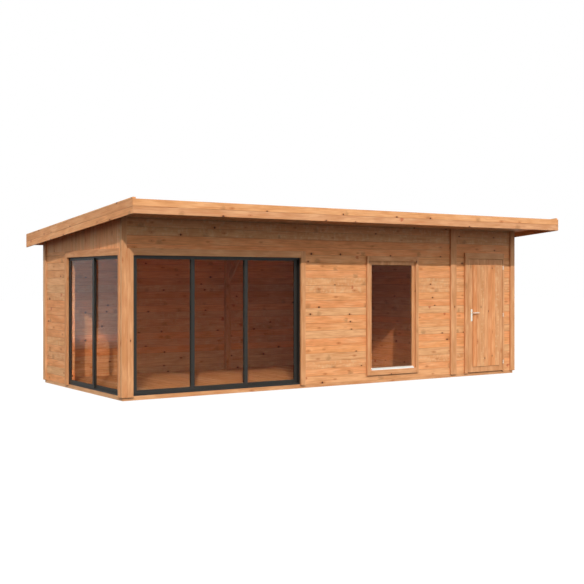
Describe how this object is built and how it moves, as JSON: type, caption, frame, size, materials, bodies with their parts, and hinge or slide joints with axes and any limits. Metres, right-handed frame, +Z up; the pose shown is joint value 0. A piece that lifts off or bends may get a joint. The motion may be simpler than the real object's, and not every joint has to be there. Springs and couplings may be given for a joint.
{
  "type": "garden office pod",
  "caption": "Timber garden office pod with black-framed sliding glazing round one corner, a tall window, a boarded store door and a lean-to roof with a deep front eave.",
  "frame": {"origin": "on the ground, under the middle of the roof outline", "axes": "+X along the front toward the store, +Y from the front to the back, +Z up"},
  "size_m": [7.84, 4.03, 2.6734],
  "materials": {
    "stained_softwood": "satin stain",
    "floor_timber": "matt oil",
    "base_timber": "matt stain",
    "roof_timber": "planed",
    "roof_rubber": "matt sheet",
    "black_aluminium": "powder coated",
    "tinted_glass": "clear, slightly brown",
    "bright_aluminium": "satin",
    "bright_steel": "brushed"
  },
  "bodies": {
    "pod": {"base_bearers": "base_timber", "base_joists": "base_timber", "floor_deck": "floor_timber", "front_left_corner_pier": "stained_softwood", "wall_headers": "stained_softwood", "front_window_wall": "stained_softwood", "store_front_walls": "stained_softwood", "left_end_wall": "stained_softwood", "right_end_wall": "stained_softwood", "back_wall": "stained_softwood", "partition_wall": "stained_softwood", "corner_boards": "stained_softwood", "cover_boards": "stained_softwood", "side_casings": "stained_softwood", "head_casings": "stained_softwood", "slider_sills": "stained_softwood", "rafters": "roof_timber", "eaves_blocking": "roof_timber", "front_rear_soffits": "stained_softwood", "side_soffits": "stained_softwood", "roof_deck": "roof_timber", "roof_membrane": "roof_rubber", "verge_upstands": "stained_softwood", "verge_boards_lower": "stained_softwood", "verge_boards_upper": "stained_softwood", "front_fascia_lower": "stained_softwood", "front_fascia_upper": "stained_softwood", "rear_fascia": "stained_softwood", "front_slider_frame": "black_aluminium", "end_slider_frame": "black_aluminium", "fixed_sashes": "black_aluminium", "fixed_glass": "tinted_glass", "window_frame": "stained_softwood", "window_drip_bar": "bright_aluminium", "store_door_frame": "stained_softwood", "hinge_casing_halves": "bright_steel"},
    "front_middle_panel": {"front_middle_sash": "black_aluminium", "front_middle_glass": "tinted_glass"},
    "front_right_panel": {"front_right_sash": "black_aluminium", "front_right_glass": "tinted_glass"},
    "end_panel": {"end_sliding_sash": "black_aluminium", "end_sliding_glass": "tinted_glass"},
    "store_door": {"store_door_leaf": "stained_softwood", "store_door_panel": "stained_softwood", "hinge_leaf_halves": "bright_steel", "handle_backplates": "bright_steel"},
    "lever": {"door_lever": "bright_steel"}
  },
  "joints": [
    {"name": "front_middle_slide", "type": "slide", "parent": "pod", "child": "front_middle_panel", "axis": [-1, 0, 0], "range_m": [0, 0.878]},
    {"name": "front_right_slide", "type": "slide", "parent": "pod", "child": "front_right_panel", "axis": [-1, 0, 0], "range_m": [0, 1.762]},
    {"name": "end_slide", "type": "slide", "parent": "pod", "child": "end_panel", "axis": [0, 1, 0], "range_m": [0, 0.89]},
    {"name": "store_door_swing", "type": "hinge", "parent": "pod", "child": "store_door", "pos_m": [3.4135, -1.229, 1.022], "axis": [0, 0, 1], "range_deg": [0, 110]},
    {"name": "lever_turn", "type": "hinge", "parent": "store_door", "child": "lever", "pos_m": [2.674, -1.195, 1.07], "axis": [0, 1, 0], "range_deg": [0, 45], "stiffness_Nm_per_rad": 1.2, "springref_deg": -20.05}
  ]
}
